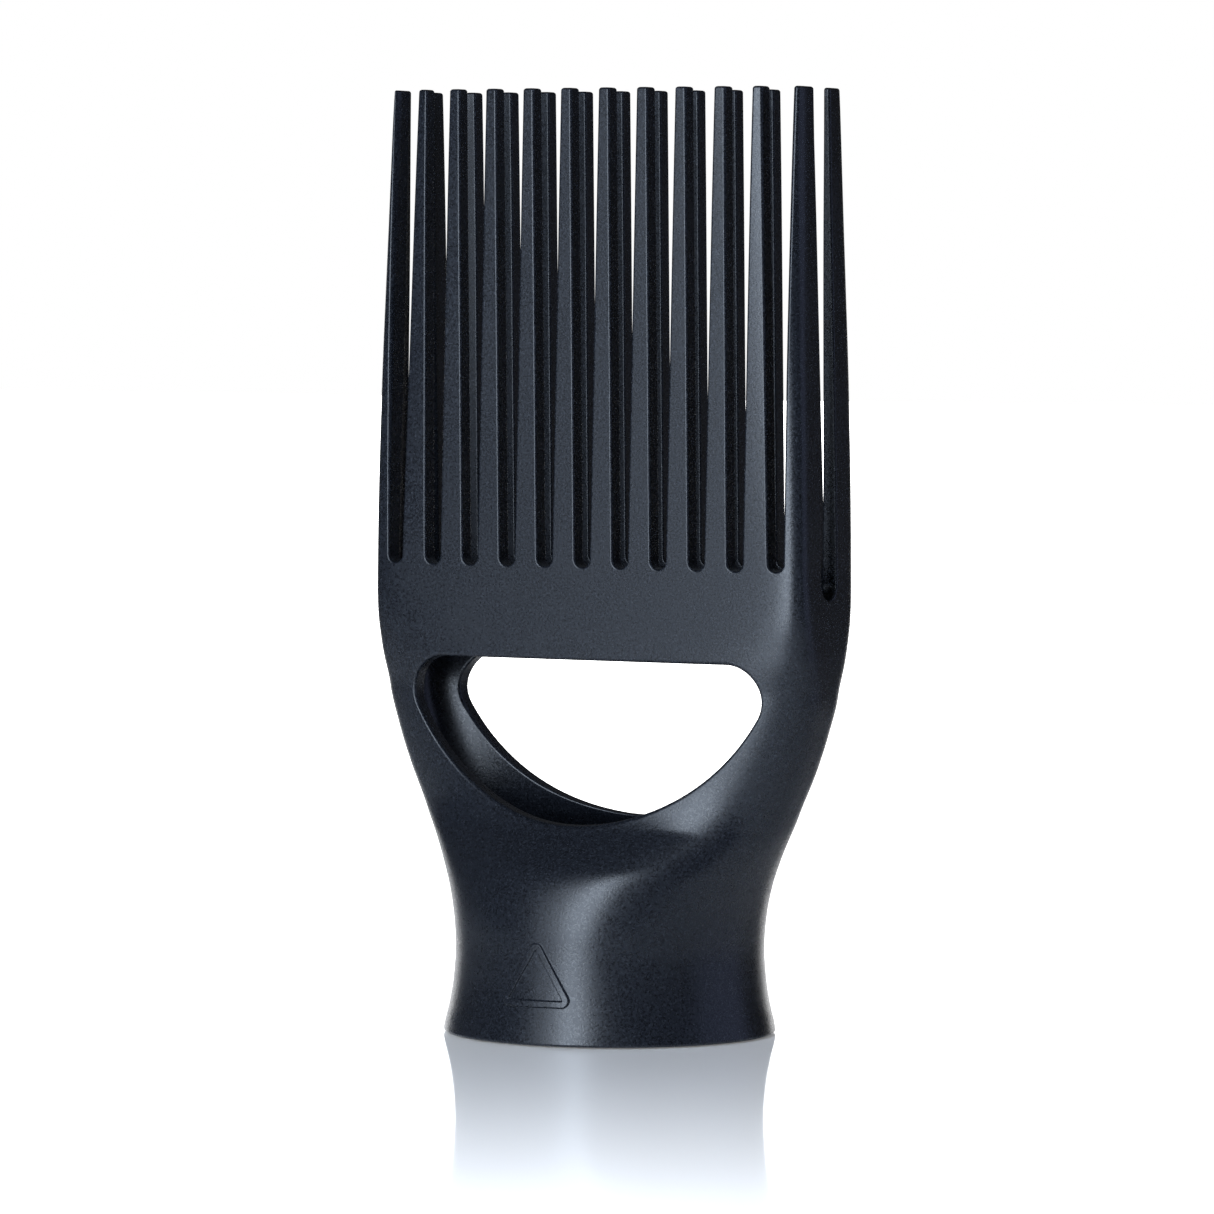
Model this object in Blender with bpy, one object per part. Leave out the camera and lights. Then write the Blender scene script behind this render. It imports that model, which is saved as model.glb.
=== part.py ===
"""Comb nozzle for a hair dryer: socket, duct and two facing rows of teeth.

Metres in the scene, millimetres in the constants. +Z runs from the dryer's
barrel to the tips of the teeth, X is the wide way and -Y is the front.
"""
import math

import bmesh
import bpy

MM = 0.001
RING_POINTS = 80
SUPPORT_GAP = 0.3

# Outer shape from the foot up: height, half width, half depth, squareness.
OUTER = (
    (0.0, 25.9, 25.9, 2.0),
    (1.5, 25.6, 25.6, 2.0),
    (4.5, 24.9, 24.9, 2.0),
    (8.0, 24.35, 24.35, 2.0),
    (13.0, 24.0, 24.0, 2.0),
    (17.0, 24.3, 23.8, 2.01),
    (20.0, 24.85, 23.3, 2.03),
    (23.0, 25.75, 22.3, 2.06),
    (26.0, 27.0, 20.6, 2.12),
    (28.5, 28.3, 18.15, 2.2),
    (30.5, 29.45, 15.95, 2.28),
    (32.5, 30.6, 13.8, 2.38),
    (36.0, 32.15, 11.9, 2.58),
    (41.0, 34.2, 10.95, 2.92),
    (47.0, 36.1, 10.5, 3.31),
    (53.0, 37.5, 10.25, 3.7),
    (60.0, 37.8, 10.05, 6.5),
    (66.0, 37.7, 10.0, 10.5),
)
# The same above the root line, where the teeth are.
UPPER = (
    (74.0, 37.45, 10.0, 13.0),
    (84.0, 37.35, 10.0, 10.5),
    (104.0, 37.0, 9.95, 8.0),
    (126.0, 36.45, 9.95, 6.0),
    (146.0, 36.0, 9.9, 5.0),
)
TIP_Z = 146.0
ROOT_Z = 73.6

# Wall: height, thickness across the width, thickness across the depth.
WALL = (
    (13.0, 2.0, 2.0),
    (20.0, 2.0, 2.0),
    (36.0, 3.0, 3.0),
    (74.0, 2.5, 3.0),
    (146.0, 1.3, 2.8),
)

# Round socket: height and radius from the mouth to the neck.
MOUTH_RADIUS = 23.2
BORE_RADIUS = 22.0
LEAD_IN = 1.5
GROOVE_LOW = 4.6
GROOVE_HIGH = 9.4
GROOVE_RADIUS = 22.7
GROOVE_SLOPE = 0.2
RING_INNER = 21.4
RING_BEAD = 21.0

# Half-moon window.
WINDOW_TOP = 58.0
WINDOW_ARC = 34.0
WINDOW_ARC_Z = 66.75
WINDOW_CORNER = 5.5
WINDOW_ARC_STEPS = 28
WINDOW_CORNER_STEPS = 8

# Slots between the teeth, cut front to back: values at the root and the tip.
TOOTH_COUNT = 12
SLOT_PITCH = 6.59
SLOT_HALF = (1.3, 2.35)
END_SLOT_INNER = (31.95, 29.95)
END_SLOT_OUTER = (34.4, 34.3)
SLOT_STEPS = 10

# Wide slot at each side, cut across.
SIDE_SLOT_HALF = (2.6, 2.6)
SIDE_SLOT_Z = 70.45
SIDE_SLOT_STEPS = 14

# Raised triangular mark.
MARK_APEX_Z = 15.6
MARK_BASE_Z = 5.8
MARK_HALF_WIDTH = 5.4
MARK_STROKE = 1.0
MARK_ROUND = 1.1
MARK_RISE = 0.35
MARK_ROOT_Y = -22.9
MARK_ARC_STEPS = 6
MARK_SKIN_Z = (2.0, 19.5)

REACH = 60.0
PARTS = "hair dryer comb nozzle"
GRAPHITE = (0.055, 0.060, 0.072, 1.0)
DARK_RUBBER = (0.020, 0.020, 0.022, 1.0)


def clear_scene():
    """Remove every object, so that the file starts empty."""
    for obj in list(bpy.data.objects):
        bpy.data.objects.remove(obj, do_unlink=True)


def make_collection(name):
    """Add a collection to the scene."""
    group = bpy.data.collections.new(name)
    bpy.context.scene.collection.children.link(group)
    return group


def make_material(name, colour, roughness):
    """Add a Principled material."""
    material = bpy.data.materials.new(name)
    material.use_nodes = True
    shader = material.node_tree.nodes["Principled BSDF"]
    shader.inputs["Base Color"].default_value = colour
    shader.inputs["Roughness"].default_value = roughness
    return material


def interpolate(table, height):
    """Read a (height, value...) table between its rows."""
    if height <= table[0][0]:
        return table[0][1:]
    for low, high in zip(table, table[1:]):
        if height <= high[0]:
            share = (height - low[0]) / (high[0] - low[0])
            return tuple(a + (b - a) * share for a, b in zip(low[1:], high[1:]))
    return table[-1][1:]


def blend(pair, height):
    """Blend from the first value at the root line to the second at the tips."""
    share = (height - ROOT_Z) / (TIP_Z - ROOT_Z)
    return pair[0] + (pair[1] - pair[0]) * share


def section_ring(height, half_width, half_depth, power):
    """Return the points of one plan section, in millimetres."""
    points = []
    for step in range(RING_POINTS):
        angle = 2.0 * math.pi * step / RING_POINTS
        cosine, sine = math.cos(angle), math.sin(angle)
        along = math.copysign(abs(cosine) ** (2.0 / power), cosine)
        across = math.copysign(abs(sine) ** (2.0 / power), sine)
        points.append((half_width * along, half_depth * across, height))
    return points


def mesh_object(name, bm, group):
    """Turn a bmesh in millimetres into an object in metres."""
    bmesh.ops.recalc_face_normals(bm, faces=bm.faces)
    bmesh.ops.scale(bm, vec=(MM, MM, MM), verts=bm.verts)
    mesh = bpy.data.meshes.new(name)
    bm.to_mesh(mesh)
    bm.free()
    obj = bpy.data.objects.new(name, mesh)
    group.objects.link(obj)
    return obj


def loft(name, rings, group):
    """Skin a closed solid over a list of rings with equal point counts."""
    bm = bmesh.new()
    rows = [[bm.verts.new(point) for point in ring] for ring in rings]
    count = len(rows[0])
    for low, high in zip(rows, rows[1:]):
        for index in range(count):
            after = (index + 1) % count
            bm.faces.new((low[index], low[after], high[after], high[index]))
    bm.faces.new(rows[0])
    bm.faces.new(rows[-1])
    return mesh_object(name, bm, group)


def prism(name, outline, axis, low, high, group):
    """Extrude an outline drawn in (across, height) along X or Y."""
    rings = []
    for distance in (low, high):
        if axis == "Y":
            rings.append([(across, distance, height) for across, height in outline])
        else:
            rings.append([(distance, across, height) for across, height in outline])
    return loft(name, rings, group)


def boolean(target, cutter, operation):
    """Apply one exact Boolean and keep the result as the target's mesh."""
    modifier = target.modifiers.new(operation.lower(), "BOOLEAN")
    modifier.operation = operation
    modifier.solver = "EXACT"
    modifier.object = cutter
    graph = bpy.context.evaluated_depsgraph_get()
    mesh = bpy.data.meshes.new_from_object(target.evaluated_get(graph))
    target.modifiers.clear()
    old = target.data
    target.data = mesh
    mesh.name = target.name
    bpy.data.meshes.remove(old)


def outer_rings(rows, grow=0.0):
    """Return section rings for rows of the outer shape."""
    return [section_ring(z, a + grow, b + grow, n) for z, a, b, n in rows]


def duct_rings(low, high):
    """Return the rings of the air duct between two heights."""
    rings = []
    for z, a, b, n in OUTER + UPPER:
        if low < z < high:
            across, along = interpolate(WALL, z)
            rings.append(section_ring(z, a - across, b - along, n))
    a, b, n = interpolate(OUTER + UPPER, high)
    across, along = interpolate(WALL, high)
    rings.append(section_ring(high, a - across, b - along, n))
    return rings


def socket_rings():
    """Return the rings of the round socket, grip groove included."""
    profile = (
        (-1.0, MOUTH_RADIUS),
        (0.0, MOUTH_RADIUS),
        (LEAD_IN, BORE_RADIUS),
        (GROOVE_LOW - GROOVE_SLOPE, BORE_RADIUS),
        (GROOVE_LOW, GROOVE_RADIUS),
        (GROOVE_HIGH, GROOVE_RADIUS),
        (GROOVE_HIGH + GROOVE_SLOPE, BORE_RADIUS),
        (WALL[0][0], BORE_RADIUS),
    )
    return [section_ring(z, radius, radius, 2.0) for z, radius in profile]


def window_outline():
    """Return the half-moon outline: flat top, round corners, arc below."""
    rise = WINDOW_ARC_Z - WINDOW_TOP + WINDOW_CORNER
    corner_x = math.sqrt((WINDOW_ARC - WINDOW_CORNER) ** 2 - rise ** 2)
    corner_z = WINDOW_TOP - WINDOW_CORNER
    join = math.atan2(corner_z - WINDOW_ARC_Z, corner_x)
    points = []
    for step in range(WINDOW_CORNER_STEPS + 1):
        angle = math.pi / 2.0 + (join - math.pi / 2.0) * step / WINDOW_CORNER_STEPS
        x = corner_x + WINDOW_CORNER * math.cos(angle)
        points.append((x, corner_z + WINDOW_CORNER * math.sin(angle)))
    sweep = math.pi + 2.0 * join
    for step in range(1, WINDOW_ARC_STEPS):
        angle = join - sweep * step / WINDOW_ARC_STEPS
        x = WINDOW_ARC * math.cos(angle)
        points.append((x, WINDOW_ARC_Z + WINDOW_ARC * math.sin(angle)))
    mirrored = [(-x, z) for x, z in reversed(points[:WINDOW_CORNER_STEPS + 1])]
    return points + mirrored


def slot_edges(index, height):
    """Return the left and right X of one slot, index -5 to 5."""
    if abs(index) < 5:
        half = blend(SLOT_HALF, height)
        return SLOT_PITCH * index - half, SLOT_PITCH * index + half
    inner, outer = blend(END_SLOT_INNER, height), blend(END_SLOT_OUTER, height)
    return (inner, outer) if index > 0 else (-outer, -inner)


def slot_groove_outline(index):
    """Return the round bottom of one slot, open above the root line."""
    left, right = slot_edges(index, ROOT_Z)
    centre, half = (left + right) / 2.0, (right - left) / 2.0
    points = []
    for step in range(SLOT_STEPS + 1):
        angle = math.pi + math.pi * step / SLOT_STEPS
        points.append((centre + half * math.cos(angle), ROOT_Z + half * math.sin(angle)))
    return points + [(right, ROOT_Z + 2.0), (left, ROOT_Z + 2.0)]


def side_slot_outline():
    """Return the U shape of the side slot below the root line."""
    half = SIDE_SLOT_HALF[0]
    points = []
    for step in range(SIDE_SLOT_STEPS + 1):
        angle = math.pi + math.pi * step / SIDE_SLOT_STEPS
        points.append((half * math.cos(angle), SIDE_SLOT_Z + half * math.sin(angle)))
    return points + [(half, ROOT_Z + 2.0), (-half, ROOT_Z + 2.0)]


def rounded_triangle(inset):
    """Return a triangle outline with rounded corners, moved in by inset."""
    slope = math.atan2(MARK_APEX_Z - MARK_BASE_Z, MARK_HALF_WIDTH)
    shift = MARK_ROUND / math.tan(slope / 2.0)
    base_x = MARK_HALF_WIDTH - shift
    apex_z = MARK_APEX_Z - MARK_ROUND / math.cos(slope)
    centres = ((base_x, MARK_BASE_Z + MARK_ROUND), (0.0, apex_z), (-base_x, MARK_BASE_Z + MARK_ROUND))
    starts = (-math.pi / 2.0, math.pi / 2.0 - slope, math.pi / 2.0 + slope)
    ends = (math.pi / 2.0 - slope, math.pi / 2.0 + slope, 1.5 * math.pi)
    radius = MARK_ROUND
    points = []
    for (x, z), start, end in zip(centres, starts, ends):
        for step in range(MARK_ARC_STEPS + 1):
            angle = start + (end - start) * step / MARK_ARC_STEPS
            points.append((x + radius * math.cos(angle), z + radius * math.sin(angle)))
    middle_z = sum(z for _, z in centres) / 3.0
    scale = 1.0 - inset / (middle_z - MARK_BASE_Z)
    return [(x * scale, middle_z + (z - middle_z) * scale) for x, z in points]


def frame_prism(name, outer, inner, low, high, group):
    """Extrude the band between two outlines along Y."""
    bm = bmesh.new()
    loops = []
    for outline in (outer, inner):
        for y in (low, high):
            loops.append([bm.verts.new((x, y, z)) for x, z in outline])
    outer_low, outer_high, inner_low, inner_high = loops
    count = len(outer)
    for a, b in ((outer_low, outer_high), (inner_high, inner_low), (outer_high, inner_high), (inner_low, outer_low)):
        for index in range(count):
            after = (index + 1) % count
            bm.faces.new((a[index], a[after], b[after], b[index]))
    return mesh_object(name, bm, group)


def build_body(parts, cutters, material):
    """Build the socket, duct, band and slot bottoms as one closed body."""
    top = (ROOT_Z,) + interpolate(OUTER + UPPER, ROOT_Z)
    body = loft("nozzle_body", outer_rings(OUTER + (top,)), parts)
    low, high = MARK_SKIN_Z
    rows = [(low,) + interpolate(OUTER, low)]
    rows += [row for row in OUTER if low < row[0] < high]
    rows += [(high,) + interpolate(OUTER, high)]
    mark = loft("mark_blank", outer_rings(rows, MARK_RISE), cutters)
    outlines = (rounded_triangle(0.0), rounded_triangle(MARK_STROKE))
    boolean(mark, frame_prism("mark_frame", *outlines, -REACH, MARK_ROOT_Y, cutters), "INTERSECT")
    boolean(body, mark, "UNION")
    inside = socket_rings() + duct_rings(WALL[0][0], ROOT_Z + 2.0)
    boolean(body, loft("duct_space", inside, cutters), "DIFFERENCE")
    window = prism("window_space", window_outline(), "Y", -REACH, REACH, cutters)
    boolean(body, window, "DIFFERENCE")
    for index in range(-5, 6):
        name = f"slot_space_{index + 6:02d}"
        groove = prism(name, slot_groove_outline(index), "Y", -REACH, REACH, cutters)
        boolean(body, groove, "DIFFERENCE")
    side = prism("side_slot_space", side_slot_outline(), "X", -REACH, REACH, cutters)
    boolean(body, side, "DIFFERENCE")
    finish(body, material)


def tooth_limits(number, height):
    """Return the left and right X of one tooth at a height."""
    left = -REACH
    right = REACH
    if number > 1:
        left = slot_edges(number - 7, height)[1]
    if number < TOOTH_COUNT:
        right = slot_edges(number - 6, height)[0]
    return left, right


def tooth_wedge(name, number, side, cutters):
    """Build the tapered block that one tooth is cut out with."""
    rings = []
    for z in (ROOT_Z + SUPPORT_GAP, TIP_Z + 1.0):
        left, right = tooth_limits(number, z)
        inner = side * blend(SIDE_SLOT_HALF, z)
        outer = side * REACH
        rings.append([(left, outer, z), (right, outer, z), (right, inner, z), (left, inner, z)])
    return loft(name, rings, cutters)


def build_teeth(parts, cutters, material):
    """Cut the two rows of teeth out of the upper part of the shell."""
    shell = loft("upper_shell", outer_rings(OUTER[-1:] + UPPER), cutters)
    boolean(shell, loft("upper_space", duct_rings(60.0, TIP_Z + 1.0), cutters), "DIFFERENCE")
    for row, side in (("front", -1.0), ("back", 1.0)):
        for number in range(1, TOOTH_COUNT + 1):
            name = f"{row}_tooth_{number:02d}"
            tooth = bpy.data.objects.new(name, shell.data.copy())
            parts.objects.link(tooth)
            boolean(tooth, tooth_wedge(f"{name}_wedge", number, side, cutters), "INTERSECT")
            finish(tooth, material)


def build_grip_ring(parts, material):
    """Build the flexible ring in the socket's groove."""
    low = GROOVE_LOW + SUPPORT_GAP + 0.05
    high = GROOVE_HIGH - SUPPORT_GAP - 0.05
    outer = GROOVE_RADIUS - SUPPORT_GAP - 0.05
    middle = (low + high) / 2.0
    profile = ((outer, high), (outer, low), (RING_INNER, low), (RING_BEAD, middle), (RING_INNER, high))
    bm = bmesh.new()
    steps = RING_POINTS
    rows = []
    for step in range(steps):
        angle = 2.0 * math.pi * step / steps
        row = [bm.verts.new((r * math.cos(angle), r * math.sin(angle), z)) for r, z in profile]
        rows.append(row)
    for step in range(steps):
        row, after = rows[step], rows[(step + 1) % steps]
        for index in range(len(profile)):
            following = (index + 1) % len(profile)
            bm.faces.new((row[index], row[following], after[following], after[index]))
    finish(mesh_object("socket_grip_ring", bm, parts), material)


def finish(obj, material):
    """Give an object its material and shade its round faces smooth."""
    obj.data.materials.clear()
    obj.data.materials.append(material)
    obj.data.polygons.foreach_set("material_index", [0] * len(obj.data.polygons))
    obj.data.polygons.foreach_set("use_smooth", [True] * len(obj.data.polygons))
    obj.data.set_sharp_from_angle(angle=math.radians(30.0))
    obj.data.update()


def hide_cutters(cutters):
    """Keep the cutting shapes out of renders."""
    for obj in cutters.objects:
        obj.hide_render = True
        obj.display_type = "WIRE"


def main():
    """Build the whole part."""
    clear_scene()
    parts = make_collection(PARTS)
    cutters = make_collection("cutters")
    graphite = make_material("graphite_plastic", GRAPHITE, 0.42)
    rubber = make_material("grip_rubber", DARK_RUBBER, 0.7)
    build_body(parts, cutters, graphite)
    build_teeth(parts, cutters, graphite)
    build_grip_ring(parts, rubber)
    hide_cutters(cutters)


main()
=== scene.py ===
"""Comb nozzle for a hair dryer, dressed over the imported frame.

The frame is in metres. The shape constants here are in millimetres. +Z runs
from the dryer's barrel to the tips of the teeth, and -Y is the front. The
shape is built for one quarter and mirrored, because only the raised mark
breaks the symmetry.
"""

import math

import bpy
import numpy as np
from mathutils import Matrix, Vector
from mathutils.geometry import delaunay_2d_cdt


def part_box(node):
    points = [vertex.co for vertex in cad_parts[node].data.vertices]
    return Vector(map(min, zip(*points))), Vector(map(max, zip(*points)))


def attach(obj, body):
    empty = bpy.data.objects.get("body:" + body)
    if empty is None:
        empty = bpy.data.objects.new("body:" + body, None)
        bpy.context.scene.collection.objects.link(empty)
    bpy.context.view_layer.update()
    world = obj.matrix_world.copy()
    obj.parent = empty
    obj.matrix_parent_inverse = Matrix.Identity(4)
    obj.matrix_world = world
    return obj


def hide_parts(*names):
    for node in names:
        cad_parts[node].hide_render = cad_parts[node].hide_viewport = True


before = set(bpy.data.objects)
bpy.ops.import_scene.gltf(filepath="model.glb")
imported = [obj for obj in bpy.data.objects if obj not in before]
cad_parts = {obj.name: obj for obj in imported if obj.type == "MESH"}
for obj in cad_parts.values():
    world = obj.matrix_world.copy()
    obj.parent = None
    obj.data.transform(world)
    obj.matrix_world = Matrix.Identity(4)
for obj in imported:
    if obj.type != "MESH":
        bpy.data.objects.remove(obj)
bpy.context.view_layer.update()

MM = 0.001
WELD = 0.0005
ROOT_Z = 73.6
TIP_Z = 146.0

# Outer section up the height: height, half width, half depth, squareness.
SECTION = np.array([
    (0.0, 25.9, 25.9, 2.0),
    (1.5, 25.6, 25.6, 2.0),
    (4.5, 24.9, 24.9, 2.0),
    (8.0, 24.35, 24.35, 2.0),
    (13.0, 24.0, 24.0, 2.0),
    (17.0, 24.3, 23.8, 2.01),
    (20.0, 24.85, 23.3, 2.03),
    (23.0, 25.75, 22.3, 2.06),
    (26.0, 27.0, 20.6, 2.12),
    (28.5, 28.3, 18.15, 2.2),
    (30.5, 29.45, 15.95, 2.28),
    (32.5, 30.6, 13.8, 2.38),
    (36.0, 32.15, 11.9, 2.58),
    (41.0, 34.2, 10.95, 2.92),
    (47.0, 36.1, 10.5, 3.31),
    (53.0, 37.5, 10.25, 3.7),
    (60.0, 37.8, 10.05, 6.5),
    (66.0, 37.7, 10.0, 10.5),
    (73.6, 37.45, 10.0, 13.0),
    (84.0, 37.4, 10.0, 10.0),
    (104.0, 37.1, 9.95, 7.2),
    (126.0, 36.7, 9.95, 5.7),
    (146.0, 36.35, 9.9, 4.5),
])
# The corner teeth keep a squarer section and lean in more.
CORNER = np.array([
    (0.0, 37.45, 10.0, 13.0),
    (73.6, 37.45, 10.0, 13.0),
    (84.0, 37.3, 10.0, 13.0),
    (98.0, 36.95, 9.95, 12.5),
    (116.5, 36.45, 9.95, 10.0),
    (126.0, 36.2, 9.95, 8.8),
    (146.0, 35.7, 9.9, 7.1),
])
# Wall up the height: height, thickness across the width, across the depth.
WALL = np.array([
    (13.0, 2.0, 2.0),
    (20.0, 2.0, 2.0),
    (36.0, 3.0, 3.0),
    (73.6, 2.5, 3.0),
    (116.0, 2.1, 2.9),
    (146.0, 1.55, 2.8),
])

# Slots: values at the root line and at the tips.
PITCH = 6.59
SLOT_HALF = (1.3, 2.35)
NEAR_END_HALF = (1.3, 1.95)
END_INNER = (31.95, 29.95)
END_OUTER = (34.45, 34.3)
SIDE_HALF = (2.6, 2.6)
SIDE_Z = 70.45

# Window.
WINDOW_TOP = 58.0
WINDOW_ARC = 34.0
WINDOW_ARC_Z = 66.75
WINDOW_CORNER = 5.5

# Edge roundings: at the root line and at the tips.
EDGE_OUT = (0.35, 0.42)
EDGE_IN = (0.3, 0.36)
EDGE_END = (0.35, 1.1)
EDGE_END_DEEP = (0.35, 2.2)
EDGE_SIDE = (0.35, 0.45)
EDGE_TUCKED = (0.3, 0.2)
WINDOW_OUT = 0.6
WINDOW_IN = 0.4
TIP_ROUND = 0.42
FOOT_ROUND = 0.4

# Steps of the mesh: across an edge rounding, across the face of a tooth and of
# a corner tooth, rows up a tooth, angles over its tip, and round the foot.
EDGE_STEPS = 5
FACE_STEPS = 10
CORNER_FACE_STEPS = 30
TOOTH_ROWS = 38
TIP_ANGLES = (15.0, 30.0, 45.0, 60.0, 75.0, 90.0)
FOOT_STEPS = 65
# Spacing of the points that fill the outer and the inner skin. Past BEND_START,
# in travel from the middle of the front, they are closer by BEND_FINER.
OUTER_STEP = 0.8
INNER_STEP = 1.2
BEND_START = 31.0
BEND_END = 52.0
BEND_FINER = 0.55

# Raised mark: a plain triangle outline.
MARK_APEX_Z = 15.6
MARK_BASE_Z = 5.8
MARK_HALF_WIDTH = 5.4
MARK_ROUND = 1.1
MARK_STROKE = 1.0
MARK_RISE = 0.35
MARK_SLOPE = 0.22
MARK_GRID = 0.11
MARK_NEAR = 0.2

# Socket: where the duct begins, and the lead-in, groove and bore below it as
# radius, height and rounding.
INNER_LOW = 13.0
SOCKET = (
    (23.2, 0.0, 0.25), (22.0, 1.5, 0.4), (22.0, 4.4, 0.1), (22.7, 4.6, 0.08),
    (22.7, 9.4, 0.08), (22.0, 9.6, 0.1),
)

# Grip ring: inner radius, radius and half height of the bead's root and top.
RING_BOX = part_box("socket_grip_ring")
RING_INNER = 21.5
BEAD_ROOT = (21.4, 1.1)
BEAD_TOP = (21.05, 0.6)
RING_ROUNDS = (0.25, 0.25, 0.3, 0.3, 0.3, 0.3, 0.3, 0.3)

# Camera: azimuth and height as the object was seen, long lens.
CAMERA_AZIMUTH = 28.0
CAMERA_DISTANCE = 1.0307
CAMERA_HEIGHT = 0.11314
CAMERA_YAW = -0.043
CAMERA_PITCH = 2.626
CAMERA_ROLL = 0.311
CAMERA_LENS = 197.14

# Floor and surround. The floor's own glow rises with distance over FLOOR_FADE,
# so the reflection of the foot fades out.
FLOOR_REACH = 6.0
FLOOR_DROP = 0.0002
FLOOR_COLOUR = (0.7, 0.7, 0.7, 1.0)
FLOOR_ROUGHNESS = 0.07
FLOOR_GLOW = 0.15
FLOOR_FADE = (0.036, 0.285)
FLOOR_FADE_POWER = 1.6
SURROUND = 0.035

# Soft lights: name, azimuth, elevation, distance, size, radiance, colour.
LIGHT_TARGET = (0.0, 0.0, 0.075)
COOL = (0.87, 1.0, 1.18)
LIGHTS = (
    ("key softbox", 1.0, 10.0, 0.38, (0.135, 0.44), 7.6, COOL),
    ("key falloff", -20.0, 10.0, 0.38, (0.09, 0.44), 1.5, COOL),
    ("left fill", -125.0, 15.0, 1.6, (0.8, 1.6), 0.12, COOL),
    ("side fill", 117.0, 15.0, 1.6, (1.3, 1.5), 0.32, (0.75, 0.9, 1.5)),
)
FLOOR_CARD = ("floor card", 208.0, 8.0, 8.0, (9.0, 7.0), 2.6, (1.0, 1.0, 1.0))

# Moulded plastics: noise scales per metre, and depth of the grain in metres.
GRAIN_SCALE = 2600.0
CLOUD_SCALE = 90.0
FLECK_SCALE = 3600.0
GRAIN_DEPTH = 0.00003
CLOUD_ROUGHNESS = 0.025
GRAIN_ROUGHNESS = 0.07


def pchip(table, heights):
    """Interpolate the columns of a table smoothly and without overshoot."""
    x, y = table[:, 0], table[:, 1:]
    step = np.diff(x)[:, None]
    slope = np.diff(y, axis=0) / step
    tangent = np.zeros_like(y)
    left, right = slope[:-1], slope[1:]
    w1 = 2.0 * step[1:] + step[:-1]
    w2 = step[1:] + 2.0 * step[:-1]
    safe_left = np.where(left == 0.0, 1.0, left)
    safe_right = np.where(right == 0.0, 1.0, right)
    mean = (w1 + w2) / (w1 / safe_left + w2 / safe_right)
    tangent[1:-1] = np.where(left * right > 0.0, mean, 0.0)
    tangent[0], tangent[-1] = slope[0], slope[-1]
    z = np.clip(heights, x[0], x[-1])
    at = np.clip(np.searchsorted(x, z, side="right") - 1, 0, len(x) - 2)
    width = (x[at + 1] - x[at])[:, None]
    t = (z[:, None] - x[at][:, None]) / width
    low = y[at] * (1 + 2 * t) * (1 - t) ** 2 + tangent[at] * width * t * (1 - t) ** 2
    high = y[at + 1] * t ** 2 * (3 - 2 * t) + tangent[at + 1] * width * t ** 2 * (t - 1)
    return low + high


HEIGHTS = np.linspace(0.0, TIP_Z, 2921)
OUTER_TABLE = pchip(SECTION, HEIGHTS)
WALL_TABLE = pchip(WALL, HEIGHTS)
CORNER_TABLE = pchip(CORNER, HEIGHTS)


def outer(z):
    """Half width, half depth and squareness of the outer skin at heights."""
    return tuple(np.interp(z, HEIGHTS, column) for column in OUTER_TABLE.T)


def corner(z):
    """The same for the outer skin of the corner teeth."""
    return tuple(np.interp(z, HEIGHTS, column) for column in CORNER_TABLE.T)


def inner(z):
    """The same for the skin of the air duct."""
    a, b, n = outer(z)
    across, along = (np.interp(z, HEIGHTS, column) for column in WALL_TABLE.T)
    return a - across, b - along, n


def depth_at(skin, x, z):
    """Distance of a skin from the mid plane Y = 0, at X and height."""
    a, b, n = skin(z)
    return b * np.clip(1.0 - (np.abs(x) / a) ** n, 0.0, 1.0) ** (1.0 / n)


def width_at(skin, y, z):
    """Distance of a skin from the mid plane X = 0, at Y and height."""
    a, b, n = skin(z)
    return a * np.clip(1.0 - (np.abs(y) / b) ** n, 0.0, 1.0) ** (1.0 / n)


def skin_normal(skin, x, y, z):
    """Outward unit normals of a skin at points of the quarter X, Y >= 0."""
    def level(height):
        a, b, n = skin(height)
        return (np.abs(x) / a) ** n + (np.abs(y) / b) ** n
    a, b, n = skin(z)
    nudge = 0.2
    top, low = np.clip(z + nudge, 0.0, TIP_Z), np.clip(z - nudge, 0.0, TIP_Z)
    gradient = np.stack([
        n / a * (np.abs(x) / a) ** (n - 1.0),
        n / b * (np.abs(y) / b) ** (n - 1.0),
        (level(top) - level(low)) / (top - low),
    ], axis=-1)
    return unit(gradient)


def unit(v):
    """Scale vectors to length 1."""
    return v / np.maximum(np.linalg.norm(v, axis=-1, keepdims=True), 1e-12)


def travel(skin, x, y, z):
    """Distance-like coordinate round a section, 0 at the middle of the front."""
    return x + skin(z)[1] - y


def at_travel(skin, u, z):
    """Points of a section at a travel coordinate, in the quarter X, Y >= 0."""
    a, b, n = skin(z)
    low, high = np.zeros_like(u), np.full_like(u, math.pi / 2.0)
    for _ in range(46):
        angle = (low + high) / 2.0
        cosine, sine = np.cos(angle), np.sin(angle)
        radius = ((cosine / a) ** n + (sine / b) ** n) ** (-1.0 / n)
        beyond = radius * cosine + b - radius * sine > u
        low, high = np.where(beyond, angle, low), np.where(beyond, high, angle)
    return radius * cosine, radius * sine


def blend(pair, z):
    """Blend from the value at the root line to the value at the tips."""
    return pair[0] + (pair[1] - pair[0]) * (z - ROOT_Z) / (TIP_Z - ROOT_Z)


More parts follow.
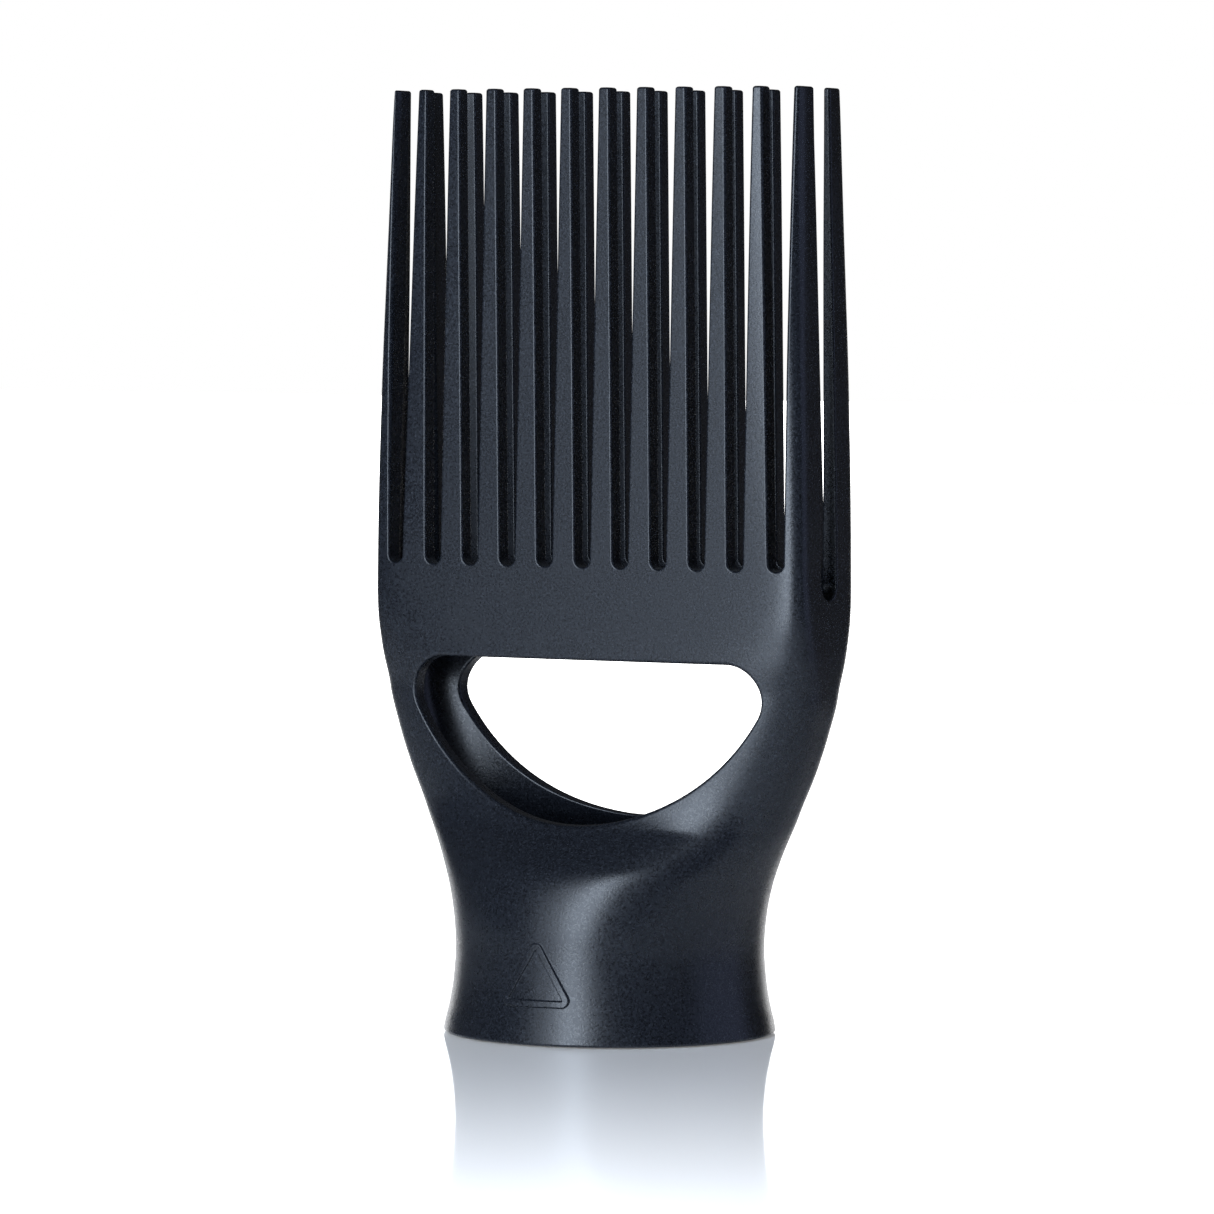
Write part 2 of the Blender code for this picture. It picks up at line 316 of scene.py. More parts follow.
class Shell:
    """Collects patches of points, normals and faces, and welds them."""

    def __init__(self):
        self.points, self.normals, self.faces, self.count = [], [], [], 0

    def add(self, points, normals, faces):
        """Add faces given as rows of indices into points."""
        faces = [np.asarray(block) for block in faces if len(block)]
        for block in faces:
            spokes = points[block][:, 1:] - points[block][:, :1]
            face = np.cross(spokes[:, :-1], spokes[:, 1:]).sum(axis=1)
            wrong = np.einsum("ij,ij->i", face, normals[block].sum(axis=1)) < 0.0
            block[wrong] = block[wrong][:, ::-1]
            self.faces.append(block + self.count)
        self.points.append(points)
        self.normals.append(normals)
        self.count += len(points)

    def grid(self, points, normals, closed=False):
        """Add a patch of quads from arrays of rows and columns."""
        rows, columns = points.shape[:2]
        index = np.arange(rows * columns).reshape(rows, columns)
        after = np.roll(index, -1, axis=1) if closed else index[:, 1:]
        before = index if closed else index[:, :-1]
        quads = np.stack([before[:-1], after[:-1], after[1:], before[1:]], axis=-1).reshape(-1, 4)
        self.add(points.reshape(-1, 3), normals.reshape(-1, 3), [quads])

    def flat(self, outline, normal):
        """Add one flat face."""
        normals = np.tile(np.array(normal, float), (len(outline), 1))
        self.add(outline.copy(), normals, [np.arange(len(outline))[None, :]])

    def mirrored(self, x, y):
        """A copy mirrored in X or Y, with signs 1 or -1."""
        copy, sign = Shell(), np.array([x, y, 1.0])
        copy.points = [p * sign for p in self.points]
        copy.normals = [n * sign for n in self.normals]
        copy.faces = [f[:, ::-1] if x * y < 0 else f for f in self.faces]
        copy.count = self.count
        return copy

    def join(self, other):
        """Take in another shell."""
        self.points += other.points
        self.normals += other.normals
        self.faces += [f + self.count for f in other.faces]
        self.count += other.count

    def build(self, name, material):
        """Weld the patches into one object with exact normals."""
        points, normals = np.concatenate(self.points), np.concatenate(self.normals)
        keys = np.round(points / WELD).astype(np.int64)
        _, first, where = np.unique(keys, axis=0, return_index=True, return_inverse=True)
        where = where.reshape(-1)
        faces, corners = [], []
        for block in self.faces:
            welded = where[block]
            for row, old in zip(welded, block):
                keep = [i for i in range(len(row)) if row[i] != row[i - 1]]
                if len(keep) > 2:
                    faces.append([int(row[i]) for i in keep])
                    corners.append(old[keep])
        mesh = bpy.data.meshes.new(name)
        mesh.from_pydata((points[first] * MM).tolist(), [], faces)
        mesh.polygons.foreach_set("use_smooth", [True] * len(faces))
        mesh.normals_split_custom_set(unit(normals[np.concatenate(corners)]).tolist())
        mesh.materials.append(material)
        piece = bpy.data.objects.new(name, mesh)
        bpy.context.scene.collection.objects.link(piece)
        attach(piece, "root")
        return piece


def stack(x, y, z):
    """Points of the front right quarter, where Y is negative."""
    x, y, z = np.broadcast_arrays(x, y, z)
    return np.stack([x, -y, z], axis=-1).astype(float)


def turned(normals):
    """Normals of the front right quarter."""
    return normals * np.array([1.0, -1.0, 1.0])


def cut_edge(skin, centre, away, radius, inward, axis, deep=None):
    """Round the edge where a cut meets a skin, from the skin to the cut's wall.

    centre is the cut's outline and away points from it into the material. inward
    is 1 on the outer skin and -1 on the inner one. deep is the rounding's size
    into the cut, where it isn't the same as radius.
    """
    deep = radius if deep is None else deep
    angle = np.linspace(0.0, math.pi / 2.0, EDGE_STEPS + 1)[:, None]
    radius = np.asarray(radius, float)
    back = radius * (1.0 - np.sin(angle))
    across = centre[:, 0] + away[:, 0] * back
    z = centre[:, 1] + away[:, 1] * back
    sink = deep * (1.0 - np.cos(angle)) * inward
    if axis == "Y":
        depth = depth_at(skin, across, z)
        normal = skin_normal(skin, across, depth, z)
        points = stack(across, depth - sink, z)
        wall = np.stack([-away[:, 0], np.zeros(len(away)), -away[:, 1]], axis=-1)
    else:
        width = width_at(skin, across, z)
        normal = skin_normal(skin, width, across, z)
        points = stack(width - sink, across, z)
        wall = np.stack([np.zeros(len(away)), -away[:, 0], -away[:, 1]], axis=-1)
    normal = normal * inward
    mix = radius * np.cos(angle)[..., None] * normal + deep * np.sin(angle)[..., None] * wall
    return points, turned(unit(mix))


def notch_wall(shell, centre, away, radii, axis):
    """Add the rounded edges and the wall of one cut."""
    out, out_normal = cut_edge(outer, centre, away, radii[0], 1.0, axis)
    back, back_normal = cut_edge(inner, centre, away, radii[1], -1.0, axis)
    points = np.concatenate([out, back[::-1]])
    normals = np.concatenate([out_normal, back_normal[::-1]])
    shell.grid(points, normals)


def arc(centre_x, centre_z, radius, start, end, steps):
    """Outline and away vectors along an arc, angles in degrees."""
    angle = np.radians(np.linspace(start, end, steps + 1))
    away = np.stack([np.cos(angle), np.sin(angle)], axis=-1)
    return np.array([centre_x, centre_z]) + radius * away, away


def window_curve():
    """The right half of the window's outline, from the top to the bottom."""
    rise = WINDOW_ARC_Z - WINDOW_TOP + WINDOW_CORNER
    reach = math.sqrt((WINDOW_ARC - WINDOW_CORNER) ** 2 - rise ** 2)
    tilt = -math.degrees(math.asin(rise / (WINDOW_ARC - WINDOW_CORNER)))
    top = np.stack([np.linspace(0.0, reach, 31), np.full(31, WINDOW_TOP)], axis=-1)
    up = np.tile((0.0, 1.0), (31, 1))
    bend = arc(reach, WINDOW_TOP - WINDOW_CORNER, WINDOW_CORNER, 90.0, tilt, 24)
    below = arc(0.0, WINDOW_ARC_Z, WINDOW_ARC, tilt, -90.0, 56)
    centre = np.concatenate([top[:-1], bend[0][:-1], below[0]])
    away = np.concatenate([up[:-1], bend[1][:-1], below[1]])
    centre[-1, 0] = 0.0
    away[-1] = (0.0, -1.0)
    return centre, away


def side_curve():
    """Half of the side slot's outline, from the bottom to the root line."""
    centre, away = arc(0.0, SIDE_Z, SIDE_HALF[0], -90.0, 0.0, 10)
    centre[0, 0], away[0] = 0.0, (0.0, -1.0)
    rest = np.linspace(SIDE_Z, ROOT_Z, 5)[1:]
    straight = np.stack([np.full(4, SIDE_HALF[0]), rest], axis=-1)
    sideways = np.tile((1.0, 0.0), (4, 1))
    return np.concatenate([centre, straight]), np.concatenate([away, sideways])


def slot_curve(index):
    """The round bottom of a slot from its right edge to its left edge."""
    if index == 0:
        centre, away = arc(0.0, ROOT_Z, SLOT_HALF[0], 0.0, -90.0, 9)
        centre[-1, 0], away[-1] = 0.0, (0.0, -1.0)
        return centre, away
    left, right = slot_edges(index, ROOT_Z)
    return arc((left + right) / 2.0, ROOT_Z, (right - left) / 2.0, 0.0, -180.0, 18)


def slot_edges(index, z):
    """Left and right X of a slot, index 0 to 5 from the middle to the right."""
    if index == 5:
        return blend(END_INNER, z), blend(END_OUTER, z)
    half = blend(SLOT_HALF, z)
    right = blend(NEAR_END_HALF, z) if index == 4 else half
    return PITCH * index - half, PITCH * index + right


def tooth_rows(skin, number, z, radius_left, radius_right):
    """Points of one tooth's face on a skin, from its left to its right edge."""
    left = slot_edges(number - 1, z)[1] + radius_left
    start = travel(skin, left, depth_at(skin, left, z), z)
    if number < 6:
        right = slot_edges(number, z)[0] - radius_right
        end = travel(skin, right, depth_at(skin, right, z), z)
        steps = FACE_STEPS
    else:
        side = blend(SIDE_HALF, z) + radius_right
        end = travel(skin, width_at(skin, side, z), side, z)
        steps = CORNER_FACE_STEPS
    share = np.linspace(0.0, 1.0, steps + 1)
    u = start + (end - start) * share
    return at_travel(skin, u, np.full_like(u, z))


def tooth_radii(number, z):
    """Edge roundings of a tooth: outer left and right, inner."""
    if number == 6:
        return blend(EDGE_END, z), blend(EDGE_SIDE, z), blend(EDGE_TUCKED, z)
    return blend(EDGE_OUT, z), blend(EDGE_OUT, z), blend(EDGE_IN, z)


def tooth_edge(skin, number, z, radius, inward, right, deep=None):
    """The rounded edge of a tooth at one height, from the skin to the wall."""
    if right and number == 6:
        centre, away, axis = blend(SIDE_HALF, z), 1.0, "X"
    elif right:
        centre, away, axis = slot_edges(number, z)[0], -1.0, "Y"
    else:
        centre, away, axis = slot_edges(number - 1, z)[1], 1.0, "Y"
    points, normals = cut_edge(
        skin, np.array([[centre, z]]), np.array([[away, 0.0]]), radius, inward, axis, deep
    )
    return points[:, 0], normals[:, 0]


def tooth_outline(number, z):
    """One closed section of a tooth in the front right quarter."""
    out_left, out_right, edge_in = tooth_radii(number, z)
    skin = corner if number == 6 else outer
    deep = blend(EDGE_END_DEEP, z) if number == 6 else out_left
    x, y = tooth_rows(skin, number, z, out_left, out_right)
    face = stack(x, y, z), turned(skin_normal(skin, x, y, np.full_like(x, z)))
    x, y = tooth_rows(inner, number, z, edge_in, edge_in)
    back = stack(x, y, z), -turned(skin_normal(inner, x, y, np.full_like(x, z)))
    edges = (
        tooth_edge(skin, number, z, out_right, 1.0, True),
        tooth_edge(inner, number, z, edge_in, -1.0, True),
        tooth_edge(inner, number, z, edge_in, -1.0, False),
        tooth_edge(skin, number, z, out_left, 1.0, False, deep),
    )
    loops = []
    for part in (0, 1):
        loops.append(np.concatenate([
            face[part],
            edges[0][part][1:],
            edges[1][part][::-1][:-1],
            back[part][::-1],
            edges[2][part][1:],
            edges[3][part][::-1][:-1],
        ]))
    return loops


def tooth_shell(number):
    """A whole tooth of the front right quarter, 1 at the middle to 6 at the end."""
    shell = Shell()
    rings, normals = [], []
    for z in np.linspace(ROOT_Z, TIP_Z - TIP_ROUND, TOOTH_ROWS):
        ring, normal = tooth_outline(number, z)
        rings.append(ring)
        normals.append(normal)
    last, sideways = rings[-1], unit(normals[-1] * np.array([1.0, 1.0, 0.0]))
    low, high = last.min(axis=0), last.max(axis=0)
    middle, reach = (low + high) / 2.0, np.maximum((high - low) / 2.0, TIP_ROUND)
    for angle in np.radians(TIP_ANGLES):
        shrink = 1.0 - TIP_ROUND * (1.0 - math.cos(angle)) / reach
        ring = middle + (last - middle) * shrink
        ring[:, 2] = TIP_Z - TIP_ROUND * (1.0 - math.sin(angle))
        rings.append(ring)
        rise = np.array([0.0, 0.0, math.sin(angle)])
        normals.append(unit(sideways * math.cos(angle) + rise))
    shell.grid(np.array(rings), np.array(normals), closed=True)
    shell.flat(rings[-1], (0.0, 0.0, 1.0))
    shell.flat(rings[0], (0.0, 0.0, -1.0))
    return shell


def mark_distance(x, z):
    """Signed distance from the outer edge of the raised triangle."""
    height = MARK_APEX_Z - MARK_BASE_Z
    slope = math.atan2(MARK_HALF_WIDTH, height)
    base_z = MARK_BASE_Z + MARK_ROUND
    apex_z = MARK_APEX_Z - MARK_ROUND / math.cos(slope)
    base_x = MARK_HALF_WIDTH - MARK_ROUND * math.tan((math.pi - slope) / 4.0)
    corners = np.array([(base_x, base_z), (0.0, apex_z), (-base_x, base_z)])
    p = np.stack([x, z], axis=-1)
    nearest = np.full(x.shape, 1e9)
    inside = np.ones(x.shape, bool)
    for k in range(3):
        a, b = corners[k], corners[(k + 1) % 3]
        edge = b - a
        t = np.clip(((p - a) @ edge) / (edge @ edge), 0.0, 1.0)
        nearest = np.minimum(nearest, np.linalg.norm(p - a - t[..., None] * edge, axis=-1))
        inside &= (edge[0] * (p[..., 1] - a[1]) - edge[1] * (p[..., 0] - a[0])) > 0.0
    return np.where(inside, -nearest, nearest) - MARK_ROUND


def mark_inset(x, z):
    """How far inside the triangle's stroke points are, negative outside it."""
    return MARK_STROKE / 2.0 - np.abs(mark_distance(x, z) + MARK_STROKE / 2.0)


def mark_height(x, z):
    """Rise of the raised triangle's stroke."""
    inset = mark_inset(x, z)
    share = np.clip(inset / MARK_SLOPE + 0.5, 0.0, 1.0)
    return MARK_RISE * share * share * (3.0 - 2.0 * share)


def mark_points():
    """Extra points across the edges of the mark, for the right half."""
    x, z = np.meshgrid(np.arange(0.0, 6.2, MARK_GRID), np.arange(5.0, 16.6, MARK_GRID))
    x, z = x.ravel(), z.ravel()
    near = np.abs(mark_inset(x, z)) < MARK_NEAR
    return x[near], z[near]


def inside_polygon(points, polygon):
    """Which points are inside a closed polygon."""
    x, y = points[:, 0][:, None], points[:, 1][:, None]
    a, b = polygon, np.roll(polygon, -1, axis=0)
    spans = (a[:, 1] > y) != (b[:, 1] > y)
    rise = np.where(b[:, 1] == a[:, 1], 1.0, b[:, 1] - a[:, 1])
    crossing = a[:, 0] + (y - a[:, 1]) / rise * (b[:, 0] - a[:, 0])
    return (spans & (x < crossing)).sum(axis=1) % 2 == 1


def fill(skin, border, extra, step):
    """Triangulate a skin inside a border given as rows of X, Y, Z."""
    x, y, z = border.T
    polygon = np.stack([travel(skin, x, y, z), z], axis=-1)
    u = np.concatenate([
        np.arange(0.7, BEND_START, step), np.arange(BEND_START, BEND_END, step * BEND_FINER)
    ])
    u, height = np.meshgrid(u, np.arange(0.8, ROOT_Z, step))
    loose = np.stack([u.ravel(), height.ravel()], axis=-1)
    if extra is not None:
        clear = mark_inset(loose[:, 0], loose[:, 1]) < -0.25
        ex, ez = extra
        loose = np.concatenate([loose[clear], np.stack([ex, ez], axis=-1)])
        loose[-len(ex):, 0] = travel(skin, ex, depth_at(skin, ex, ez), ez)
    loose = loose[inside_polygon(loose, polygon)]
    gap = np.concatenate([
        np.sqrt(((chunk[:, None] - polygon[None]) ** 2).sum(axis=-1)).min(axis=1)
        for chunk in np.array_split(loose, 24)
    ])
    loose = loose[gap > (0.45 * step if extra is None else 0.08)]
    flat = np.concatenate([polygon, loose])
    count = len(polygon)
    edges = [(k, (k + 1) % count) for k in range(count)]
    corners = [Vector(p) for p in flat]
    _, _, triangles, origin, _, _ = delaunay_2d_cdt(corners, edges, [], 1, 1e-6)
    source = np.array([o[0] for o in origin])
    triangles = source[np.array(triangles)]
    px, py = at_travel(skin, loose[:, 0], loose[:, 1])
    points = np.stack([np.concatenate([x, px]), np.concatenate([y, py]), flat[:, 1]], axis=-1)
    return points, triangles


def border_of(skin, low, slot_radius, window_radius):
    """The border of a quarter of a skin below the root line, as X, Y, Z."""
    rows = []
    a, b, _ = skin(low)
    angle = np.linspace(math.pi / 2.0, 0.0, FOOT_STEPS)
    foot = np.stack([a * np.cos(angle), b * np.sin(angle), np.full(FOOT_STEPS, low)], axis=-1)
    foot[0, 0], foot[-1, 1] = 0.0, 0.0
    rows.append(foot)
    centre, away = side_curve()
    y, side_z = (centre + away * slot_radius).T
    z = np.linspace(low, side_z[0], 70)[1:-1]
    rows.append(np.stack([skin(z)[0], np.zeros_like(z), z], axis=-1))
    rows.append(np.stack([width_at(skin, y, side_z), y, side_z], axis=-1))
    for number in range(6, 0, -1):
        left, right, _ = tooth_radii(number, ROOT_Z)
        if skin is inner:
            left = right = blend(EDGE_IN, ROOT_Z)
        x, y = tooth_rows(skin, number, ROOT_Z, left, right)
        row = np.stack([x, y, np.full_like(x, ROOT_Z)], axis=-1)
        rows.append(row[::-1][1:-1])
        centre, away = slot_curve(number - 1)
        x, z = (centre + away * slot_radius).T
        z = np.minimum(z, ROOT_Z)
        rows.append(np.stack([x, depth_at(skin, x, z), z], axis=-1))
    centre, away = window_curve()
    x, window_z = (centre + away * window_radius).T
    z = np.linspace(rows[-1][-1, 2], window_z[0], 18)[1:-1]
    rows.append(np.stack([np.zeros_like(z), skin(z)[1], z], axis=-1))
    rows.append(np.stack([x, depth_at(skin, x, window_z), window_z], axis=-1))
    z = np.linspace(window_z[-1], low, 40)[1:-1]
    rows.append(np.stack([np.zeros_like(z), skin(z)[1], z], axis=-1))
    return np.concatenate(rows)


def rounded_profile(corners, radii, closed=False):
    """Points and normals along a line of (radius, z) corners with round bends."""
    corners = [np.array(c, float) for c in corners]
    count = len(corners)
    points, normals = [], []
    for k, point in enumerate(corners):
        if not closed and k in (0, count - 1):
            ahead = unit(corners[1] - point if k == 0 else point - corners[-2])
            points.append(point)
            normals.append(np.array([ahead[1], -ahead[0]]))
            continue
        before, after = unit(point - corners[k - 1]), unit(corners[(k + 1) % count] - point)
        turn = math.acos(float(np.clip(before @ after, -1.0, 1.0)))
        cut = radii[k] * math.tan(turn / 2.0)
        for share in np.linspace(0.0, 1.0, 6):
            start, end = point - before * cut, point + after * cut
            bend = (1 - share) ** 2 * start + 2 * share * (1 - share) * point + share ** 2 * end
            along = unit((1 - share) * before + share * after)
            points.append(bend)
            normals.append(np.array([along[1], -along[0]]))
    return np.array(points), np.array(normals)


def revolve(shell, profile, normals, angles):
    """Turn a profile round Z through the given angles."""
    cosine, sine = np.cos(angles)[:, None], np.sin(angles)[:, None]
    points, turns = (
        stack(cosine * radial, sine * radial, upward)
        for radial, upward in (profile.T, normals.T)
    )
    shell.grid(points, turns)


def socket_profile():
    """The foot's rim and the inside of the socket, as radius and height."""
    foot = float(outer(FOOT_ROUND)[0])
    rim = np.radians(np.linspace(0.0, 90.0, 6))
    radius = foot - FOOT_ROUND * (1 - np.cos(rim))
    points = np.stack([radius, FOOT_ROUND * (1 - np.sin(rim))], axis=-1)
    normals = np.stack([np.cos(rim), -np.sin(rim)], axis=-1)
    duct = float(inner(INNER_LOW)[0])
    corners = [(foot - FOOT_ROUND, 0.0), *(c[:2] for c in SOCKET), (duct, INNER_LOW)]
    more, more_normals = rounded_profile(corners, [0.0, *(c[2] for c in SOCKET), 0.0])
    return np.concatenate([points, more[1:]]), np.concatenate([normals, more_normals[1:]])


def quarter_body(with_mark):
    """The front right quarter of the body, with or without the mark."""
    shell = Shell()
    border = border_of(outer, FOOT_ROUND, EDGE_OUT[0], WINDOW_OUT)
    points, triangles = fill(outer, border, mark_points() if with_mark else None, OUTER_STEP)
    x, y, z = points.T
    normals = skin_normal(outer, x, y, z)
    if with_mark:
        rise, nudge = mark_height(x, z), 0.03
        slope_x = (mark_height(x + nudge, z) - mark_height(x - nudge, z)) / (2 * nudge)
        slope_z = (mark_height(x, z + nudge) - mark_height(x, z - nudge)) / (2 * nudge)
        slope = np.stack([slope_x, np.zeros_like(x), slope_z], axis=-1)
        points = points + normals * rise[:, None] * np.array([0.0, 1.0, 0.0])
        normals = unit(normals - slope)
    shell.add(turned(points), turned(normals), [triangles])
    border = border_of(inner, INNER_LOW, EDGE_IN[0], WINDOW_IN)
    points, triangles = fill(inner, border, None, INNER_STEP)
    x, y, z = points.T
    shell.add(turned(points), -turned(skin_normal(inner, x, y, z)), [triangles])
    centre, away = side_curve()
    notch_wall(shell, centre, away, (EDGE_OUT[0], EDGE_IN[0]), "X")
    centre, away = window_curve()
    notch_wall(shell, centre, away, (WINDOW_OUT, WINDOW_IN), "Y")
    for index in range(6):
        centre, away = slot_curve(index)
        notch_wall(shell, centre, away, (EDGE_OUT[0], EDGE_IN[0]), "Y")
        shell.flat(tooth_outline(index + 1, ROOT_Z)[0], (0.0, 0.0, 1.0))
    profile, normals = socket_profile()
    revolve(shell, profile, normals, np.linspace(math.pi / 2.0, 0.0, FOOT_STEPS))
    return shell


def noise(nodes, links, source, scale, detail, roughness):
    """A noise texture on object coordinates."""
    node = nodes.new("ShaderNodeTexNoise")
    node.inputs["Scale"].default_value = scale
    node.inputs["Detail"].default_value = detail
    node.inputs["Roughness"].default_value = roughness
    links.new(source, node.inputs["Vector"])
    return node.outputs["Fac"]


def spread(nodes, links, source, low, high, bottom, top):
    """Map a value from one range to another."""
    node = nodes.new("ShaderNodeMapRange")
    limits = {"From Min": low, "From Max": high, "To Min": bottom, "To Max": top}
    for name, value in limits.items():
        node.inputs[name].default_value = value
    links.new(source, node.inputs["Value"])
    return node.outputs["Result"]


def mix_colour(nodes, links, factor, first, second):
    """Mix two colours by a value."""
    node = nodes.new("ShaderNodeMix")
    node.data_type = "RGBA"
    links.new(factor, node.inputs["Factor"])
    for socket, colour in ((node.inputs[6], first), (node.inputs[7], second)):
        if isinstance(colour, tuple):
            socket.default_value = colour
        else:
            links.new(colour, socket)
    return node.outputs[2]


def combine(nodes, links, operation, *values):
    """A math node whose inputs are numbers or other nodes' outputs."""
    node = nodes.new("ShaderNodeMath")
    node.operation = operation
    for socket, value in zip(node.inputs, values):
        if isinstance(value, float):
            socket.default_value = value
        else:
            links.new(value, socket)
    return node.outputs["Value"]


def moulded_plastic(name, dark, light, fleck, rough, relief):
    """Satin moulded plastic with a very fine fleck and grain."""
    material = bpy.data.materials.new(name)
    material.use_nodes = True
    nodes, links = material.node_tree.nodes, material.node_tree.links
    shader = nodes["Principled BSDF"]
    place = nodes.new("ShaderNodeTexCoord").outputs["Object"]
    grain = noise(nodes, links, place, GRAIN_SCALE, 3.0, 0.6)
    cloud = noise(nodes, links, place, CLOUD_SCALE, 3.0, 0.5)
    spots = noise(nodes, links, place, FLECK_SCALE, 1.0, 0.5)
    tone = spread(nodes, links, grain, 0.35, 0.65, 0.0, 1.0)
    flecks = spread(nodes, links, spots, 0.55, 0.75, 0.0, 0.35)
    base = mix_colour(nodes, links, tone, dark, light)
    base = mix_colour(nodes, links, flecks, base, fleck)
    links.new(base, shader.inputs["Base Color"])
    smooth, dull = rough - CLOUD_ROUGHNESS, rough + CLOUD_ROUGHNESS
    patches = spread(nodes, links, cloud, 0.3, 0.7, smooth, dull)
    specks = spread(nodes, links, grain, 0.3, 0.7, -GRAIN_ROUGHNESS, GRAIN_ROUGHNESS)
    uneven = combine(nodes, links, "ADD", patches, specks)
    links.new(uneven, shader.inputs["Roughness"])
    bump = nodes.new("ShaderNodeBump")
    bump.inputs["Strength"].default_value = relief
    bump.inputs["Distance"].default_value = GRAIN_DEPTH
    links.new(grain, bump.inputs["Height"])
    links.new(bump.outputs["Normal"], shader.inputs["Normal"])
    return material


def build_nozzle(material):
    """Build the body and the 24 teeth over their CAD nodes."""
    body = Shell()
    for y, with_mark in ((1.0, True), (-1.0, False)):
        quarter = quarter_body(with_mark)
        for x in (1.0, -1.0):
            body.join(quarter.mirrored(x, y))
    piece = body.build("moulded_nozzle_body", material)
    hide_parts("nozzle_body")
    for number in range(1, 7):
        shell = tooth_shell(number)
        for row, y in (("front", 1.0), ("back", -1.0)):
            for x, place in ((1.0, 6 + number), (-1.0, 7 - number)):
                node = f"{row}_tooth_{place:02d}"
                piece = shell.mirrored(x, y).build(f"moulded_{node}", material)
                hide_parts(node)


def build_ring(material):
    """Build the soft rubber grip ring with its bead round the inside."""
    low, high = RING_BOX[0][2] / MM, RING_BOX[1][2] / MM
    outer_radius = RING_BOX[1][0] / MM
    middle = (low + high) / 2.0
    corners = (
        (outer_radius, low), (outer_radius, high), (RING_INNER, high),
        (BEAD_ROOT[0], middle + BEAD_ROOT[1]), (BEAD_TOP[0], middle + BEAD_TOP[1]),
        (BEAD_TOP[0], middle - BEAD_TOP[1]), (BEAD_ROOT[0], middle - BEAD_ROOT[1]),
        (RING_INNER, low),
    )
    profile, normals = rounded_profile(corners, RING_ROUNDS, closed=True)
    profile = np.concatenate([profile, profile[:1]])
    normals = np.concatenate([normals, normals[:1]])
    shell = Shell()
    revolve(shell, profile, normals, np.linspace(0.0, 2.0 * math.pi, 193))
    piece = shell.build("soft_grip_ring", material)
    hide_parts("socket_grip_ring")


def swung(first, second, angle):
    """Two square directions turned by an angle in their plane."""
    cosine, sine = math.cos(angle), math.sin(angle)
    return first * cosine + second * sine, second * cosine - first * sine


def build_camera():
    """Place the camera on its own azimuth, looking slightly down."""
    azimuth, yaw = math.radians(CAMERA_AZIMUTH), math.radians(CAMERA_YAW)
    pitch, roll = math.radians(CAMERA_PITCH), math.radians(CAMERA_ROLL)
    ahead = Vector((-math.sin(azimuth), math.cos(azimuth), 0.0))
    right = Vector((math.cos(azimuth), math.sin(azimuth), 0.0))
    up = Vector((0.0, 0.0, 1.0))
    place = -ahead * CAMERA_DISTANCE + up * CAMERA_HEIGHT
    ahead, right = swung(ahead, right, yaw)
    ahead = ahead * math.cos(pitch) - up * math.sin(pitch)
    up = right.cross(ahead)
    right, up = swung(right, up, roll)
    turn = Matrix((right, up, -ahead)).transposed().to_4x4()
    data = bpy.data.cameras.new("camera")
    data.lens = CAMERA_LENS
    data.sensor_width = 36.0
    data.clip_start = 0.05
    camera = bpy.data.objects.new("camera", data)
    camera.matrix_world = Matrix.Translation(place) @ turn
    bpy.context.scene.collection.objects.link(camera)
    bpy.context.scene.camera = camera


def softbox(name, azimuth, elevation, distance, size, radiance, colour, only=None):
    """A soft light that looks at the object, and may light one thing only."""
    a, e = math.radians(azimuth), math.radians(elevation)
    way = Vector((math.sin(a) * math.cos(e), -math.cos(a) * math.cos(e), math.sin(e)))
    data = bpy.data.lights.new(name, "AREA")
    data.shape = "RECTANGLE"
    data.size, data.size_y = size
    data.energy = radiance * math.pi * size[0] * size[1]
    data.color = colour
    light = bpy.data.objects.new(name, data)
    light.location = Vector(LIGHT_TARGET) + way * distance
    light.rotation_euler = (-way).to_track_quat("-Z", "Y").to_euler()
    light.visible_camera = False
    bpy.context.scene.collection.objects.link(light)
    if only is not None:
        receivers = bpy.data.collections.new(name + " receivers")
        receivers.objects.link(only)
        light.light_linking.receiver_collection = receivers


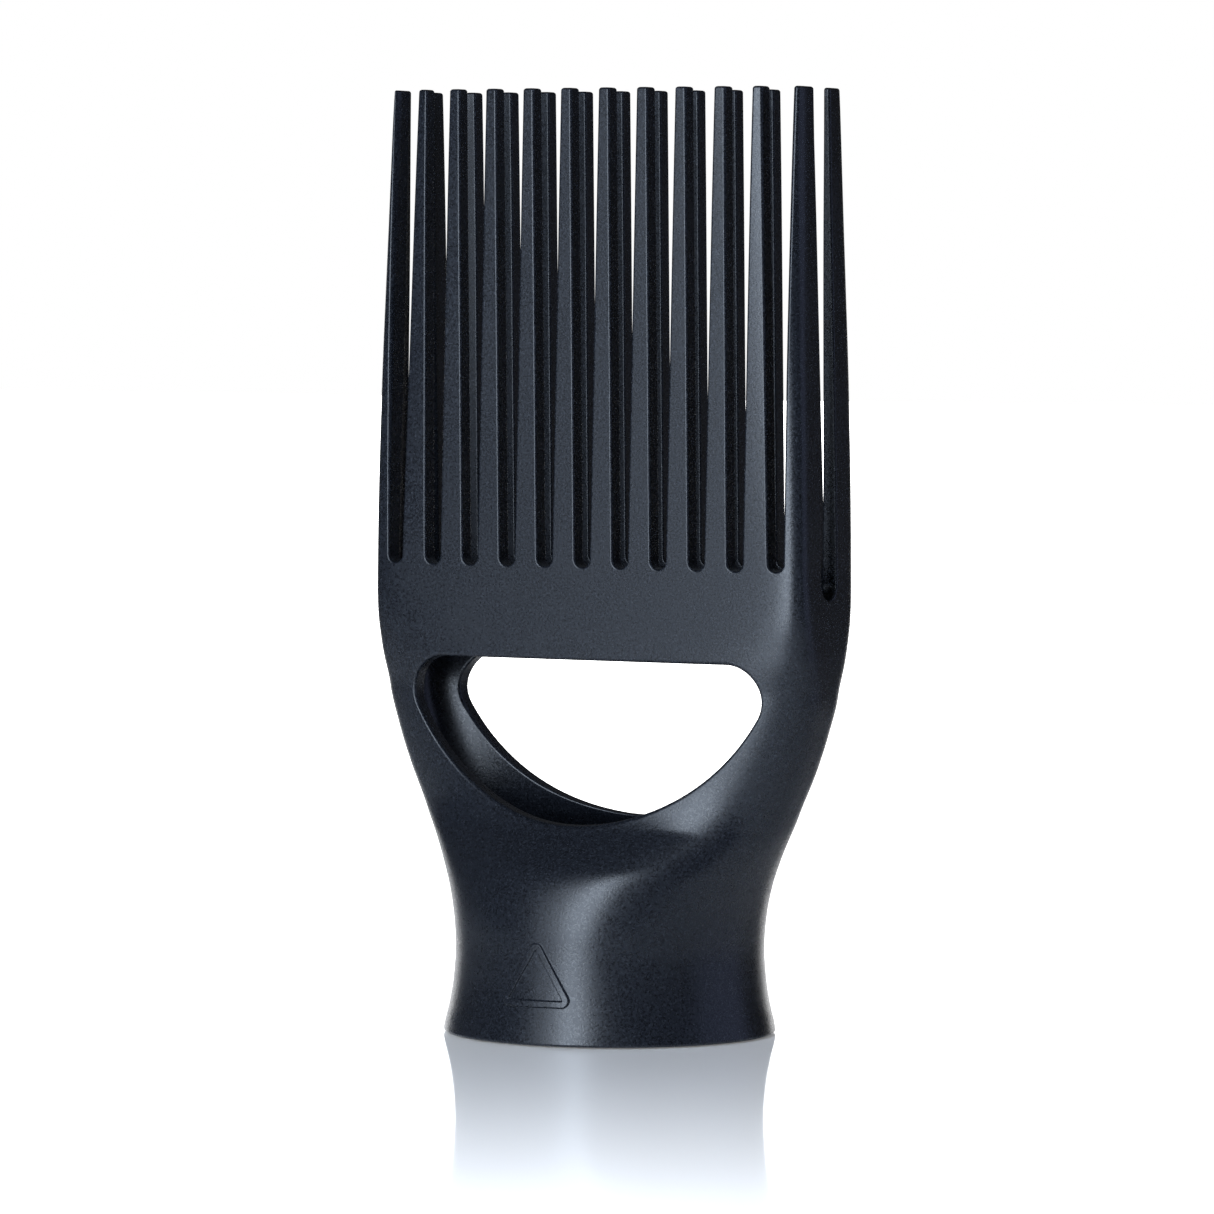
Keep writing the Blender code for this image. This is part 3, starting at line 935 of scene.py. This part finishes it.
def white_floor():
    """A glossy white floor that photographs as plain white."""
    material = bpy.data.materials.new("white_floor")
    material.use_nodes = True
    nodes, links = material.node_tree.nodes, material.node_tree.links
    shader = nodes["Principled BSDF"]
    shader.inputs["Base Color"].default_value = FLOOR_COLOUR
    shader.inputs["Roughness"].default_value = FLOOR_ROUGHNESS
    shader.inputs["Emission Color"].default_value = (1.0, 1.0, 1.0, 1.0)
    radius = nodes.new("ShaderNodeVectorMath")
    radius.operation = "LENGTH"
    links.new(nodes.new("ShaderNodeNewGeometry").outputs["Position"], radius.inputs[0])
    fade = spread(nodes, links, radius.outputs["Value"], *FLOOR_FADE, 0.0, 1.0)
    fade = combine(nodes, links, "POWER", fade, FLOOR_FADE_POWER)
    glow = combine(nodes, links, "MULTIPLY_ADD", fade, 1.0 - FLOOR_GLOW, FLOOR_GLOW)
    seen = nodes.new("ShaderNodeLightPath").outputs["Is Camera Ray"]
    glow = combine(nodes, links, "MULTIPLY", glow, seen)
    links.new(glow, shader.inputs["Emission Strength"])
    mesh = bpy.data.meshes.new("floor")
    r = FLOOR_REACH
    corners = [(-r, -r, 0.0), (r, -r, 0.0), (r, r, 0.0), (-r, r, 0.0)]
    mesh.from_pydata(corners, [], [(0, 1, 2, 3)])
    mesh.materials.append(material)
    floor = bpy.data.objects.new("floor", mesh)
    floor.location.z = -FLOOR_DROP
    bpy.context.scene.collection.objects.link(floor)
    return floor


def surround():
    """White behind the object, dim in everything it reflects."""
    world = bpy.context.scene.world or bpy.data.worlds.new("surround")
    bpy.context.scene.world = world
    world.use_nodes = True
    nodes, links = world.node_tree.nodes, world.node_tree.links
    seen = nodes.new("ShaderNodeLightPath").outputs["Is Camera Ray"]
    level = combine(nodes, links, "MULTIPLY_ADD", seen, 1.0 - SURROUND, SURROUND)
    links.new(level, nodes["Background"].inputs["Strength"])
    nodes["Background"].inputs["Color"].default_value = (1.0, 1.0, 1.0, 1.0)


def build_stage():
    """A white floor, a dim surround and soft lights."""
    floor = white_floor()
    surround()
    for light in LIGHTS:
        softbox(*light)
    softbox(*FLOOR_CARD, only=floor)


graphite = moulded_plastic(
    "satin_graphite_plastic", (0.007, 0.008, 0.011, 1.0), (0.015, 0.018, 0.025, 1.0),
    (0.09, 0.10, 0.12, 1.0), 0.29, 0.8,
)
rubber = moulded_plastic(
    "soft_grip_rubber", (0.012, 0.012, 0.013, 1.0), (0.022, 0.022, 0.024, 1.0),
    (0.03, 0.03, 0.03, 1.0), 0.72, 0.4,
)
build_camera()
build_nozzle(graphite)
build_ring(rubber)
build_stage()
bpy.context.scene.view_settings.view_transform = "Standard"
